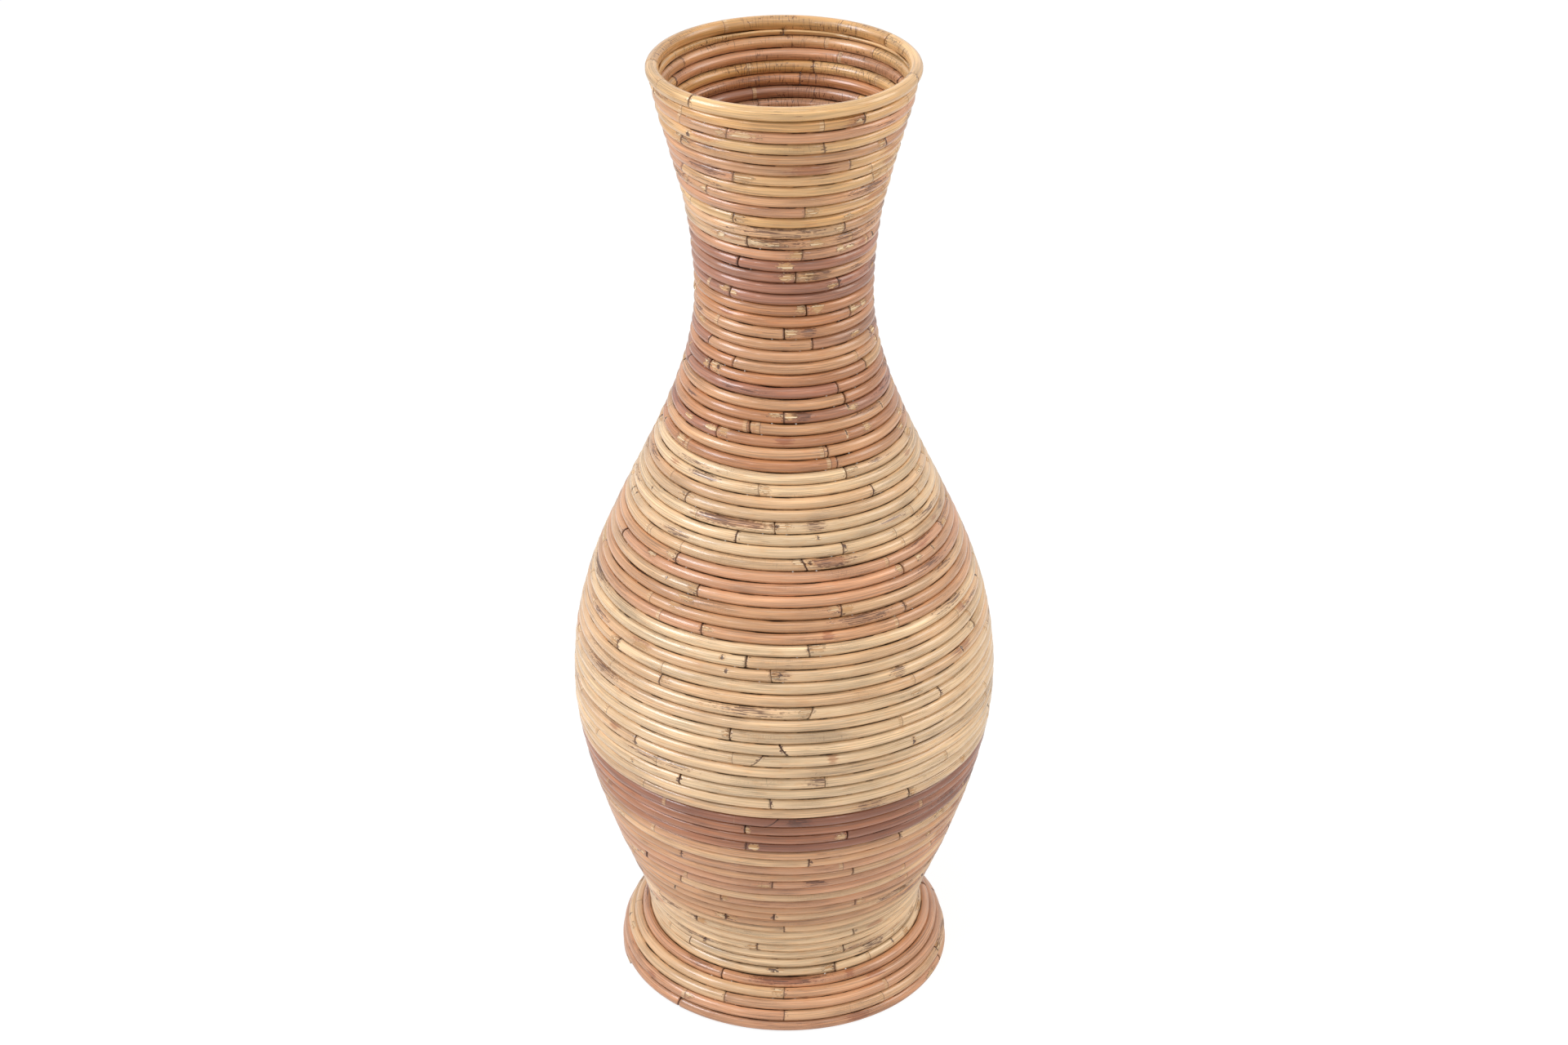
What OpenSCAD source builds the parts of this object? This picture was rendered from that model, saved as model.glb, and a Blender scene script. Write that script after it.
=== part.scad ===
// Tall floor vase wound from rattan cane.
// The wall is one spiral of cane that climbs a cane thickness in every turn. It is laid from
// bent lengths that meet end to end, pinned to the turn below and closed by a level rim.
// The first turn is planed flat to stand on and the last one is planed level to carry the rim.
// The front is toward -Y, and heights are measured from the floor.

/* [Outline] */
// Height of the vase
vase_h = 800; // [760:5:840]
// Width over the rim
mouth_w = 209.4; // [200:0.2:220]
// Width over the collar
collar_w = 159.3; // [154:0.1:165]
// Width over the neck
neck_w = 141.3; // [135:0.1:150]
// Width over the shoulder
shoulder_w = 294.7; // [285:0.1:305]
// Width over the belly
belly_w = 347.6; // [335:0.2:360]
// Width over the flank, below the belly
flank_w = 291.4; // [282:0.2:300]
// Width over the waist, above the foot
waist_w = 230.4; // [224:0.2:238]
// Width over the foot
foot_w = 279.6; // [270:0.2:290]

/* [Heights] */
// Height of the collar
collar_z = 697; // [685:1:705]
// Height of the neck
neck_z = 614; // [604:1:624]
// Height of the shoulder
shoulder_z = 395; // [385:1:405]
// Height of the belly
belly_z = 271; // [262:1:280]
// Height of the flank
flank_z = 142; // [134:1:150]
// Height of the waist
waist_z = 43; // [41:0.5:46]

/* [Slopes] */
// Lean of the mouth out from upright, in degrees
mouth_lean = 10; // [8:0.5:12]
// Lean of the collar out from upright, in degrees
collar_lean = 12; // [10:0.5:14]
// Lean of the shoulder in from upright, in degrees
shoulder_lean = 23; // [20:0.5:26]
// Lean of the flank out from upright, in degrees
flank_lean = 18; // [15:0.5:21]
// Lean of the top of the foot, in degrees
foot_lean = 58; // [50:0.5:60]

/* [Cane] */
// Thickness of the cane in the foot
foot_cane_d = 9.05; // [8.6:0.05:9.6]
// Thickness of the cane at the flank
flank_cane_d = 8.55; // [8.2:0.05:9.2]
// Thickness of the cane above the belly, where it is thickest
belly_cane_d = 9.95; // [9.4:0.05:10.4]
// Thickness of the cane at the shoulder
shoulder_cane_d = 9.05; // [8.6:0.05:9.6]
// Thickness of the cane in the neck
neck_cane_d = 9.05; // [8.6:0.05:9.6]
// Thickness of the cane in the mouth
mouth_cane_d = 9.35; // [9:0.05:9.8]
// Thickness of the rim cane
rim_cane_d = 10.6; // [10:0.1:11.2]
// Glue line between one turn and the next
glue_line = 0.44; // [0.42:0.01:0.5]
// Gap where two lengths meet end to end
butt_gap = 0.3; // [0.2:0.05:0.6]

/* [Winding] */
// Direction in which the first turn starts, in degrees from +X
start_angle = 198; // [150:1:240]
// Greatest length of one bent cane, as a share of a turn
most_length_share = 0.4; // [0.38:0.01:0.42]
// How far a joint at the back is moved from an even spacing, as a share of a turn
joint_spread_share = 0.01; // [0:0.005:0.02]

/* [Base] */
// Thickness of the base board
board_t = 15; // [12:0.5:15]
// How far the board sits above the floor
board_lift = 1; // [0.5:0.1:2]
// Gap between the board and the cane round it
board_gap = 0.3; // [0.2:0.05:0.4]

/* [Pins] */
// Thickness of the headless brads
brad_d = 1.4; // [1.2:0.1:1.6]
// How far a wall brad goes into each of its two canes
brad_bite = 3.4; // [3:0.1:3.6]
// Length of a rim brad below the seat of the rim
rim_brad_l = 12; // [11:0.5:13]
// Length of the brads that hold the base board
board_brad_l = 20; // [16:0.5:22]
// Distance of a brad from the end of its cane
brad_inset = 9; // [8:0.5:12]
// Clearance round a brad
brad_gap = 0.05; // [0.03:0.01:0.08]

/* [Hidden] */
// Smoothness of a cane's section and of its bend
section_fn = 32;
bend_fn = 120;
// Colours of the cane lengths, light and dark by turns, and of the board
cane_colours = ["burlywood", "peru", "tan", "sandybrown", "wheat", "rosybrown", "goldenrod"];
board_colour = "tan";
brad_colour = "silver";

// Outline: the line that the middle of the cane follows, as stations of height, radius and slope
waist_cane_d = flank_cane_d;
upper_stations = [
    [waist_z, (waist_w - waist_cane_d) / 2, 0],
    [flank_z, (flank_w - flank_cane_d) / 2, tan(flank_lean)],
    [belly_z, (belly_w - belly_cane_d) / 2, 0],
    [shoulder_z, (shoulder_w - shoulder_cane_d) / 2, -tan(shoulder_lean)],
    [neck_z, (neck_w - neck_cane_d) / 2, 0],
    [collar_z, (collar_w - mouth_cane_d) / 2, tan(collar_lean)],
    [vase_h - rim_cane_d / 2, (mouth_w - rim_cane_d) / 2, tan(mouth_lean)]
];
foot_stations = [
    [0, (foot_w - foot_cane_d) / 2, 0],
    [waist_z, (waist_w - waist_cane_d) / 2, -tan(foot_lean)]
];

// A smooth curve between two stations, as the radius at one height
function between(a, b, z) =
    let (span = b[0] - a[0], s = (z - a[0]) / span)
    (1 + 2 * s) * pow(1 - s, 2) * a[1] + s * pow(1 - s, 2) * span * a[2]
    + s * s * (3 - 2 * s) * b[1] + s * s * (s - 1) * span * b[2];

// Radius of the cane's middle line at height z, straight on past both ends
function station_radius(list, z, i = 0) =
    z < list[0][0] ? list[0][1] + (z - list[0][0]) * list[0][2]
    : i > len(list) - 2 ? list[i][1] + (z - list[i][0]) * list[i][2]
    : z <= list[i + 1][0] ? between(list[i], list[i + 1], z)
    : station_radius(list, z, i + 1);
function line_radius(z) = z < waist_z ? station_radius(foot_stations, z) : station_radius(upper_stations, z);

// The middle line as a table of length along it, with its radius and height
line_steps = 400;
line_low = -foot_cane_d;
line_high = vase_h + 4 * rim_cane_d;
line_points = [for (i = [0 : line_steps])
    let (z = line_low + (line_high - line_low) * i / line_steps) [line_radius(z), z]];
line_reach = [for (i = 0, s = 0; i <= line_steps;
    s = s + (i < line_steps ? norm(line_points[i + 1] - line_points[i]) : 0), i = i + 1) s];
radius_table = [for (i = [0 : line_steps]) [line_reach[i], line_points[i][0]]];
height_table = [for (i = [0 : line_steps]) [line_reach[i], line_points[i][1]]];
reach_table = [for (i = [0 : line_steps]) [line_points[i][1], line_reach[i]]];
function line_point(s) = [lookup(s, radius_table), lookup(s, height_table)];

// Thickness of the cane at one height, which changes slowly up the wall
thickness_table = [
    [0, foot_cane_d],
    [waist_z, waist_cane_d],
    [flank_z, flank_cane_d],
    [(2 * belly_z + shoulder_z) / 3, belly_cane_d],
    [shoulder_z, shoulder_cane_d],
    [neck_z, neck_cane_d],
    [vase_h, mouth_cane_d]
];
function thickness_at(z) = lookup(z, thickness_table);

// The place on the line where the next turn lies on the turn at s, a pitch away in a straight line
function pitch_at(s) = thickness_at(lookup(s, height_table)) + glue_line;
function turn_above(s, guess, tries) =
    tries == 0 ? guess
    : turn_above(s, s + (guess - s) * pitch_at((s + guess) / 2) / norm(line_point(guess) - line_point(s)),
        tries - 1);

// Where the winding ends: its last turn runs out against the seat of the rim
start_show_share = 0.4;
seat_z = vase_h - rim_cane_d;
end_z = seat_z + mouth_cane_d / 2 * (1 - start_show_share);
end_reach = lookup(end_z, reach_table);

// The whole spiral as a table of turns wound and reach along the line
steps_per_turn = 24;
start_z = foot_cane_d / 2 * (start_show_share - 1);
start_reach = lookup(start_z, reach_table);
first_turn = [for (i = [0 : steps_per_turn - 1]) start_reach + pitch_at(start_reach) * i / steps_per_turn];
all_turns = [for (turn = first_turn; turn[0] < end_reach;
    turn = [for (s = turn) turn_above(s, s + pitch_at(s), 3)]) turn];
spiral_table = [for (n = [0 : len(all_turns) - 1]) for (i = [0 : steps_per_turn - 1])
    [n + i / steps_per_turn, all_turns[n][i]]];
turns_table = [for (row = spiral_table) [row[1], row[0]]];
turns = lookup(end_reach, turns_table);

// Direction and place of the cane's middle after so many turns
function angle_at(turn) = start_angle - 360 * turn;
function place_at(turn) =
    let (p = line_point(lookup(turn, spiral_table)), a = angle_at(turn))
    [p[0] * cos(a), p[0] * sin(a), p[1]];
function cane_d_at(turn) = thickness_at(place_at(turn)[2]);

// Lengths of cane: each turn has one joint toward the front, at its own share of a turn to the
// right of it, from the foot up. Between two of these the winding is divided evenly.
front_joint_shares = [
    -0.11, 0, -0.06, 0, -0.07, 0.06, -0.12, 0.07, -0.03, 0.08, -0.1, 0, -0.06, -0.01, 0.07,
    -0.06, -0.1, -0.14, -0.01, 0.06, -0.09, 0.02, 0.1, -0.03, 0.05, -0.03, -0.01, 0.1, -0.01, -0.08,
    0.03, -0.12, -0.02, 0, -0.04, 0.13, 0.02, -0.1, -0.15, -0.01, -0.03, 0.02, -0.07, 0.11, 0.05,
    -0.08, 0.12, -0.11, 0.02, 0.06, -0.05, -0.01, -0.12, 0.11, -0.03, 0.08, 0.07, 0.06, -0.1, -0.05,
    0, 0.1, 0.09, -0.14, -0.09, -0.15, 0.05, 0, 0.13, 0.04, -0.1, 0.1, 0.02, -0.08, 0.03,
    -0.06, 0.1, -0.08, 0.03, -0.12, 0.14, -0.07, 0.09, -0.15, 0.05, -0.07, 0.1
];
least_length_share = 0.2;
golden_angle = 180 * (3 - sqrt(5));
front_turn = (start_angle + 90) / 360;
front_joints = [for (k = [0 : floor(turns - front_turn)])
    let (t = front_turn + k - front_joint_shares[k % len(front_joint_shares)])
    if (t > least_length_share && t < turns - least_length_share) t];
main_joints = concat([0], front_joints, [turns]);
joint_turns = concat([0], [for (i = [0 : len(main_joints) - 2])
    let (from = main_joints[i], span = main_joints[i + 1] - from, count = ceil(span / most_length_share))
    for (j = [1 : count])
        from + span * j / count + (j < count ? joint_spread_share * sin(golden_angle * (3 * i + j)) : 0)]);
lengths = len(joint_turns) - 1;

// Brads: two in each length, moved along where a joint of the turn below is near
function turn_share_of(distance, turn) =
    distance / (2 * PI * line_point(lookup(turn, spiral_table))[0]);
function near_joint(turn, reach) = len([for (j = joint_turns) if (abs(j - turn) < reach) j]) > 0;
function brad_turn(turn, toward) =
    let (inset = turn_share_of(brad_inset, turn), first = turn + toward * inset)
    near_joint(first - 1, inset / 2) ? first + toward * inset : first;
brad_turns = [for (i = [0 : lengths - 1])
    each [brad_turn(joint_turns[i], 1), brad_turn(joint_turns[i + 1], -1)]];
first_brad_turn = 1.6;
last_brad_turn = turns - 0.6;
wall_brad_turns = [for (t = brad_turns) if (t > first_brad_turn && t < last_brad_turn) t];

// Rim: four lengths of cane on the seat
rim_joint_shares = [-132 / 360, -17 / 360, 35 / 360, 180 / 360];
rim_r = (mouth_w - rim_cane_d) / 2;
rim_z = vase_h - rim_cane_d / 2;
rim_inset_share = brad_inset / (2 * PI * rim_r);
rim_ends = [for (i = [0 : 3]) i < 3 ? rim_joint_shares[i + 1] : rim_joint_shares[0] + 1];
rim_brad_shares = [for (i = [0 : 3])
    each [rim_joint_shares[i] + rim_inset_share, rim_ends[i] - rim_inset_share]];

// Base board and its brads
board_top_z = board_lift + board_t;
board_r = line_radius(board_top_z) - thickness_at(board_top_z) / 2 - board_gap;
board_brads = 8;
first_board_brad_turn = 0.68;
board_brad_turns = [for (i = [0 : board_brads - 1]) first_board_brad_turn + i / board_brads];

// Edge of the cubes that plane the first and the last turn
planing_w = belly_w;

// Nodes: a few lengths each, in the order in which they are wound, and named for the region of
// the vase that they lie in. At every size the lengths are shared out evenly over the same nodes.
regions = [
    ["foot", 4], ["waist", 3], ["flank", 8], ["belly", 8], ["shoulder", 11], ["neck", 10], ["collar", 9]
];
wall_names = [for (r = regions) for (k = [1 : r[1]]) str(r[0], "_canes_", k)];
wall_nodes = len(wall_names);
function first_length(n) = ceil(lengths * n / wall_nodes);

// A bent cane from one turn count to another, as part of a tilted ring. The ring passes through
// three places of the spiral, spread so that the cane stays as close to it as a ring can.
ring_spread_share = cos(30);
module bent_cane(t0, t1, d) {
    tm = (t0 + t1) / 2;
    a = place_at(tm - (t1 - t0) / 2 * ring_spread_share);
    b = place_at(tm);
    c = place_at(tm + (t1 - t0) / 2 * ring_spread_share);
    u = b - a;
    v = c - a;
    n = cross(u, v);
    middle = a + cross((u * u) * v - (v * v) * u, n) / (2 * n * n);
    r = norm(a - middle);
    x = (a - middle) / r;
    k = n / norm(n);
    y = cross(k, x);
    inner_bend = acos((a - middle) * (c - middle) / (r * r));
    bend = inner_bend / ring_spread_share;
    trim = butt_gap / 2 / r * 180 / PI;
    multmatrix([
        [x[0], y[0], k[0], middle[0]],
        [x[1], y[1], k[1], middle[1]],
        [x[2], y[2], k[2], middle[2]],
        [0, 0, 0, 1]
    ])
    rotate_extrude(angle = bend - 2 * trim, start = trim - (bend - inner_bend) / 2, $fn = bend_fn)
    translate([r, 0])
    circle(d = d, $fn = section_fn);
}

// A round pin from one place to another, turned about itself so that its seam lies to the side
seam_turn = 90;
module pin(from, to, d) {
    way = to - from;
    l = norm(way);
    translate(from)
    rotate([0, acos(way[2] / l), atan2(way[1], way[0])])
    rotate(seam_turn)
    cylinder(d = d, h = l, $fn = section_fn);
}

// A wall brad, or with a gap the hole that it sits in, along the line between two turns
module wall_brad(turn, gap = 0) {
    upper = place_at(turn);
    lower = place_at(turn - 1);
    way = (lower - upper) / norm(lower - upper);
    half = (norm(lower - upper) - (cane_d_at(turn) + cane_d_at(turn - 1)) / 2) / 2 + brad_bite + gap;
    middle = (upper + lower) / 2;
    pin(middle - way * half, middle + way * half, brad_d + 2 * gap);
}

// A rim brad, or its hole: it leans with the mouth
module rim_brad(share, gap = 0) {
    a = 360 * share;
    down = [-sin(mouth_lean) * cos(a), -sin(mouth_lean) * sin(a), -cos(mouth_lean)];
    top = [rim_r * cos(a), rim_r * sin(a), rim_z];
    pin(top - down * gap, top + down * (rim_cane_d / 2 + rim_brad_l + gap), brad_d + 2 * gap);
}

// A board brad, or its hole: level, from inside the cane into the edge of the board
module board_brad(turn, gap = 0) {
    a = angle_at(turn);
    out = [cos(a), sin(a), 0];
    p = place_at(turn);
    pin(p + out * gap, p - out * (board_brad_l + gap), brad_d + 2 * gap);
}

// One length of the winding, with the holes for its brads
module wall_cane(i) {
    t0 = joint_turns[i];
    t1 = joint_turns[i + 1];
    color(cane_colours[i % len(cane_colours)])
    difference() {
        bent_cane(t0, t1, cane_d_at((t0 + t1) / 2));
        if (t0 < 1)
            translate([-planing_w / 2, -planing_w / 2, -planing_w]) cube(planing_w);
        if (t1 > turns - 1)
            translate([-planing_w / 2, -planing_w / 2, seat_z]) cube(planing_w);
        for (t = wall_brad_turns)
            if ((t > t0 && t < t1) || (t - 1 > t0 && t - 1 < t1)) wall_brad(t, brad_gap);
        for (t = board_brad_turns)
            if (t > t0 && t < t1) board_brad(t, brad_gap);
        if (t1 > turns - 2)
            for (s = rim_brad_shares) rim_brad(s, brad_gap);
    }
}

// The lengths of one node
module wall_canes(n) {
    for (i = [first_length(n) : first_length(n + 1) - 1]) wall_cane(i);
}

// The rim
module rim_canes() {
    for (i = [0 : 3]) {
        trim = butt_gap / 2 / rim_r * 180 / PI;
        color(cane_colours[i])
        difference() {
            translate([0, 0, rim_z])
            rotate_extrude(angle = 360 * (rim_ends[i] - rim_joint_shares[i]) - 2 * trim,
                start = 360 * rim_joint_shares[i] + trim, $fn = bend_fn)
            translate([rim_r, 0])
            circle(d = rim_cane_d, $fn = section_fn);
            for (s = rim_brad_shares)
                if (s > rim_joint_shares[i] && s < rim_ends[i]) rim_brad(s, brad_gap);
        }
    }
}

module wall_brads() {
    color(brad_colour) for (t = wall_brad_turns) wall_brad(t);
}

module rim_brads() {
    color(brad_colour) for (s = rim_brad_shares) rim_brad(s);
}

// The board inside the foot
module base_board() {
    color(board_colour)
    difference() {
        translate([0, 0, board_lift]) cylinder(r = board_r, h = board_t, $fn = bend_fn);
        for (t = board_brad_turns) board_brad(t, brad_gap);
    }
}

module board_brads() {
    color(brad_colour) for (t = board_brad_turns) board_brad(t);
}

for (n = [0 : wall_nodes - 1]) wall_canes(n);
rim_canes();
wall_brads();
rim_brads();
base_board();
board_brads();
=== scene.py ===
import math
import random

import bmesh
import bpy
import numpy as np
from mathutils import Matrix, Vector


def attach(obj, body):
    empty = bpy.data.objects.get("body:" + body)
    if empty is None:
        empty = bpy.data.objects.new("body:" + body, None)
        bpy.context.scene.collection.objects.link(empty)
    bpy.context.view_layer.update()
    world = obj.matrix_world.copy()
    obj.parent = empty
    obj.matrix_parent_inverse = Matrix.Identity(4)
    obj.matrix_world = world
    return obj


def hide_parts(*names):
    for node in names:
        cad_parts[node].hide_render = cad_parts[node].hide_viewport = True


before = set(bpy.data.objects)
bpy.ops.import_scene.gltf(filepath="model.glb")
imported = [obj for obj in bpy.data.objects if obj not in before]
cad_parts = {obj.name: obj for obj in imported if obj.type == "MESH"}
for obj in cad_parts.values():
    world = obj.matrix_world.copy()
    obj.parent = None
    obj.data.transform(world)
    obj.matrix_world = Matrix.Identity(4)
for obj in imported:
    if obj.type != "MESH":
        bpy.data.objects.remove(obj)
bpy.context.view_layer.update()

# Looks of a tall floor vase wound from rattan cane. Sizes that the CAD source names are repeated
# here in millimetres, and every piece is made in metres.
MM = 0.001

# Outline
VASE_H = 800.0
MOUTH_W, COLLAR_W, NECK_W, SHOULDER_W = 209.4, 159.3, 141.3, 294.7
BELLY_W, FLANK_W, WAIST_W, FOOT_W = 347.6, 291.4, 230.4, 279.6
COLLAR_Z, NECK_Z, SHOULDER_Z, BELLY_Z, FLANK_Z, WAIST_Z = 697.0, 614.0, 395.0, 271.0, 142.0, 43.0
MOUTH_LEAN, COLLAR_LEAN, SHOULDER_LEAN, FLANK_LEAN, FOOT_LEAN = 10.0, 12.0, 23.0, 18.0, 58.0

# Cane
FOOT_CANE, FLANK_CANE, BELLY_CANE, SHOULDER_CANE = 9.05, 8.55, 9.95, 9.05
NECK_CANE, MOUTH_CANE, RIM_CANE = 9.05, 9.35, 10.6
GLUE_LINE = 0.44

# Winding, in degrees and in shares of a turn
START_ANGLE = 198.0
MOST_LENGTH_SHARE = 0.4
LEAST_LENGTH_SHARE = 0.2
JOINT_SPREAD_SHARE = 0.01
START_SHOW_SHARE = 0.4
STEPS_PER_TURN = 24
LINE_STEPS = 400
SPACING_TRIES = 3
TURN_DIGITS = 6
# Rows under the rim that show from inside
OPEN_ROWS = 12
REGIONS = [
    ("foot", 4), ("waist", 3), ("flank", 8), ("belly", 8), ("shoulder", 11), ("neck", 10),
    ("collar", 9),
]
GOLDEN_ANGLE = 180 * (3 - math.sqrt(5))
FRONT_TURN = (START_ANGLE + 90) / 360
FRONT_JOINT_SHARES = [
    -0.11, 0, -0.06, 0, -0.07, 0.06, -0.12, 0.07, -0.03, 0.08, -0.1, 0, -0.06, -0.01, 0.07,
    -0.06, -0.1, -0.14, -0.01, 0.06, -0.09, 0.02, 0.1, -0.03, 0.05, -0.03, -0.01, 0.1, -0.01, -0.08,
    0.03, -0.12, -0.02, 0, -0.04, 0.13, 0.02, -0.1, -0.15, -0.01, -0.03, 0.02, -0.07, 0.11, 0.05,
    -0.08, 0.12, -0.11, 0.02, 0.06, -0.05, -0.01, -0.12, 0.11, -0.03, 0.08, 0.07, 0.06, -0.1, -0.05,
    0, 0.1, 0.09, -0.14, -0.09, -0.15, 0.05, 0, 0.13, 0.04, -0.1, 0.1, 0.02, -0.08, 0.03,
    -0.06, 0.1, -0.08, 0.03, -0.12, 0.14, -0.07, 0.09, -0.15, 0.05, -0.07, 0.1,
]
LAST_ROW = len(FRONT_JOINT_SHARES)
RIM_JOINT_DEGREES = [-132, -17, 35, 180, 228]
RIM_NODE_DEGREES = [119, 205]

# Camera, in metres and degrees, and its focal length in pixels of the 1920 by 1280 photograph
CAMERA_BACK, CAMERA_UP, CAMERA_DIP = 2.2710, 1.6302, 28.33
FOCAL_PIXELS = 3912.0
PHOTO_W = 1920.0
SENSOR_W = 36.0

# Tones of cane, as red, green and blue out of 255
TONES = {
    "straw": (222, 188, 145),
    "sand": (212, 172, 128),
    "gold": (217, 173, 117),
    "honey": (207, 157, 98),
    "tan": (200, 149, 105),
    "rose": (202, 147, 107),
    "amber": (186, 127, 83),
    "mauve": (166, 110, 82),
    "russet": (162, 102, 66),
    "umber": (143, 86, 58),
}
DARK_TONES = ("umber", "russet", "mauve", "amber")
# How much lighter or darker and warmer or cooler a length may be than its tone, how strong its
# streaks are, and how far its tone may drift toward the next length's
LIGHTNESS = (0.96, 1.04)
WARMTH = (-0.02, 0.02)
DARK_STREAKS, PALE_STREAKS = (0.5, 1.0), (0.4, 1.0)
MOST_DRIFT_SHARE = 0.45

# Broad bands of tone from the rim down, as one sees them from a step away: first row, last row, and
# the tones that the lengths in the band take by chance
TONE_BANDS = [
    (1, 10, ["gold", "honey", "tan", "rose"]),
    (11, 13, ["tan", "mauve", "rose", "sand", "amber"]),
    (14, 24, ["amber", "mauve", "mauve", "mauve", "tan"]),
    (25, 31, ["amber", "mauve", "tan"]),
    (32, 39, ["straw", "straw", "sand"]),
    (40, 45, ["rose", "tan", "sand"]),
    (46, 60, ["straw", "straw", "sand"]),
    (61, 64, ["umber", "russet"]),
    (65, 76, ["tan", "sand", "rose"]),
    (77, 82, ["straw"]),
    (83, 87, ["sand", "rose", "rose"]),
]
HIDDEN_TONES = ["honey", "gold", "tan", "rose", "amber", "mauve", "tan"]
INSIDE_TONES = ["gold", "tan", "rose", "tan", "amber", "mauve", "rose", "mauve"]
RIM_TONES, RIM_END_TONE = ["gold", "gold", "honey", "gold"], "gold"

# Marks on the rows at the front: row, distance from the left of the photograph, kind, and length
MARKS = [
    (1, 1010, "node", 3), (1, 1060, "stain", 34), (2, 908, "bare", 24), (5, 995, "worn", 36),
    (6, 912, "bare", 11), (11, 1030, "bare", 8), (12, 918, "bare", 44), (12, 1002, "bare", 12),
    (13, 979, "bare", 15), (14, 963, "bare", 12), (15, 990, "bare", 12), (18, 1002, "bare", 10),
    (20, 966, "bare", 12), (27, 968, "bare", 12), (36, 896, "stain", 80), (36, 951, "knot", 3.5),
    (37, 1002, "knot", 3), (38, 1036, "knot", 3), (39, 993, "knot", 3.5), (39, 1016, "stain", 36),
    (45, 1015, "stain", 10), (46, 991, "knot", 3), (47, 883, "knot", 3), (48, 888, "knot", 3),
    (48, 956, "knot", 3.5), (53, 890, "bare", 8), (55, 1020, "stain", 10), (62, 913, "bare", 8),
    (64, 922, "bare", 10), (82, 948, "knot", 9), (83, 955, "stain", 60), (83, 1042, "stain", 10),
    (29, 960, "stain", 16), (87, 1052, "stain", 25),
    (28, 914, "node", 3), (28, 930, "node", 3), (30, 1010, "node", 3), (31, 1019, "node", 3),
    (39, 795, "node", 3), (39, 832, "node", 3), (55, 896, "node", 3), (67, 1033, "node", 3),
    (13, 930, "gap", 60), (15, 905, "gap", 40), (21, 910, "gap", 60), (25, 892, "gap", 16),
    (25, 945, "gap", 20), (27, 985, "gap", 36), (28, 965, "gap", 30), (40, 1040, "gap", 95),
    (44, 950, "gap", 20), (47, 1100, "gap", 40), (59, 1000, "gap", 50), (73, 925, "gap", 30),
    (83, 935, "gap", 70), (31, 1030, "gap", 28), (32, 950, "gap", 32), (26, 975, "gap", 42),
    (41, 890, "gap", 40), (45, 945, "gap", 34), (51, 880, "gap", 60),
    (11, 955, "grit", 75), (12, 950, "grit", 50), (12, 1040, "grit", 30), (15, 1003, "grit", 26),
    (20, 990, "grit", 14), (27, 982, "grit", 22), (36, 890, "grit", 85), (36, 1000, "grit", 20),
    (39, 1018, "grit", 36), (44, 1060, "grit", 60), (48, 955, "grit", 20), (49, 1102, "grit", 18),
    (51, 920, "grit", 70), (57, 1010, "grit", 40), (60, 1065, "grit", 26), (61, 980, "grit", 24),
    (69, 1000, "grit", 24), (81, 1070, "grit", 30), (83, 855, "grit", 30), (83, 965, "grit", 85),
]


def linear(tone):
    """A tone out of 255 as linear light, with full alpha."""
    return tuple(((c / 255 + 0.055) / 1.055) ** 2.4 for c in tone) + (1.0,)


# The middle line of the cane and the winding along it


def slope(degrees):
    return math.tan(math.radians(degrees))


UPPER_STATIONS = [
    (WAIST_Z, (WAIST_W - FLANK_CANE) / 2, 0),
    (FLANK_Z, (FLANK_W - FLANK_CANE) / 2, slope(FLANK_LEAN)),
    (BELLY_Z, (BELLY_W - BELLY_CANE) / 2, 0),
    (SHOULDER_Z, (SHOULDER_W - SHOULDER_CANE) / 2, -slope(SHOULDER_LEAN)),
    (NECK_Z, (NECK_W - NECK_CANE) / 2, 0),
    (COLLAR_Z, (COLLAR_W - MOUTH_CANE) / 2, slope(COLLAR_LEAN)),
    (VASE_H - RIM_CANE / 2, (MOUTH_W - RIM_CANE) / 2, slope(MOUTH_LEAN)),
]
FOOT_STATIONS = [
    (0, (FOOT_W - FOOT_CANE) / 2, 0),
    (WAIST_Z, (WAIST_W - FLANK_CANE) / 2, -slope(FOOT_LEAN)),
]


def between(a, b, z):
    """A smooth curve between two stations, as the radius at one height."""
    span = b[0] - a[0]
    s = (z - a[0]) / span
    return (
        (1 + 2 * s) * (1 - s) ** 2 * a[1]
        + s * (1 - s) ** 2 * span * a[2]
        + s * s * (3 - 2 * s) * b[1]
        + s * s * (s - 1) * span * b[2]
    )


def line_radius(z):
    stations = FOOT_STATIONS if z < WAIST_Z else UPPER_STATIONS
    first, last = stations[0], stations[-1]
    if z < first[0]:
        return first[1] + (z - first[0]) * first[2]
    for a, b in zip(stations, stations[1:]):
        if z <= b[0]:
            return between(a, b, z)
    return last[1] + (z - last[0]) * last[2]


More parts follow.
